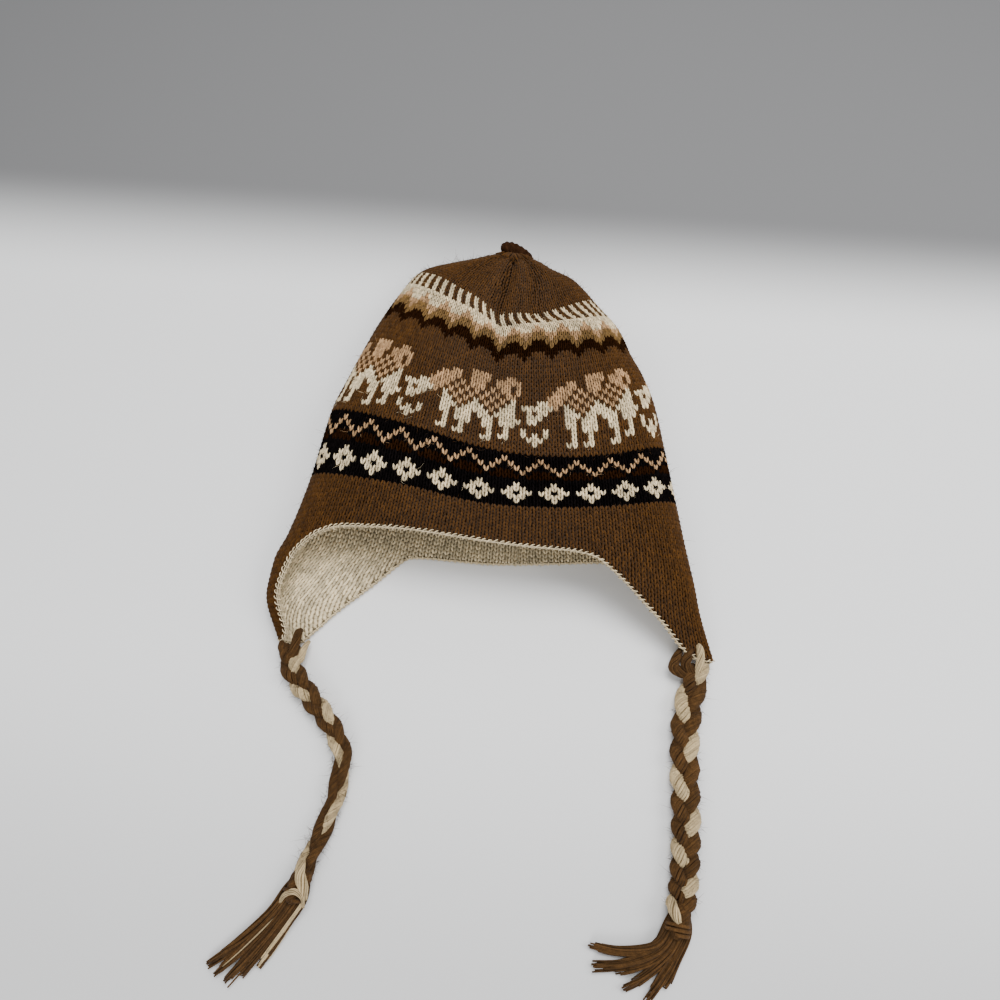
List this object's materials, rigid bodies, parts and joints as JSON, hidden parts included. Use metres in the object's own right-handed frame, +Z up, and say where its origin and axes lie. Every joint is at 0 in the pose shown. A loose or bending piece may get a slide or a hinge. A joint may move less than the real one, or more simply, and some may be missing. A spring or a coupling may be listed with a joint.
{
  "type": "chullo hat",
  "caption": "Knitted chullo hat lying on its back: patterned outer knit, cream lining, stitched edge, ear flaps, crown knot and braided ties with tassels.",
  "frame": {"origin": "on the flat underside of the hat that lies on its back, below the middle of its length", "axes": "+Y from the brim towards the crown, +X towards the hat's right side in this view, +Z up through the front of the hat"},
  "size_m": [0.2597, 0.4594, 0.0524],
  "materials": {
    "outer_knit": "soft stockinette knit of camel brown wool with a fuzzy halo and stranded cream, tan, khaki, dark brown and black motifs",
    "lining": "finer cream stockinette knit, matt, with small dark gaps between its stitches",
    "edge_stitching": "cream yarn oversewn in small loops along the edge",
    "crown_knot": "dark brown gathered yarn",
    "braid": "plaited hanks of brown and cream yarn, hairy",
    "tassel": "loose brown yarn ends with a few cream ones"
  },
  "bodies": {
    "root": {"outer_knit": "outer_knit", "lining": "lining", "edge_stitching": "edge_stitching", "crown_knot": "crown_knot", "left_braid": "braid", "right_braid": "braid", "left_tassel": "tassel", "right_tassel": "tassel"}
  },
  "joints": []
}
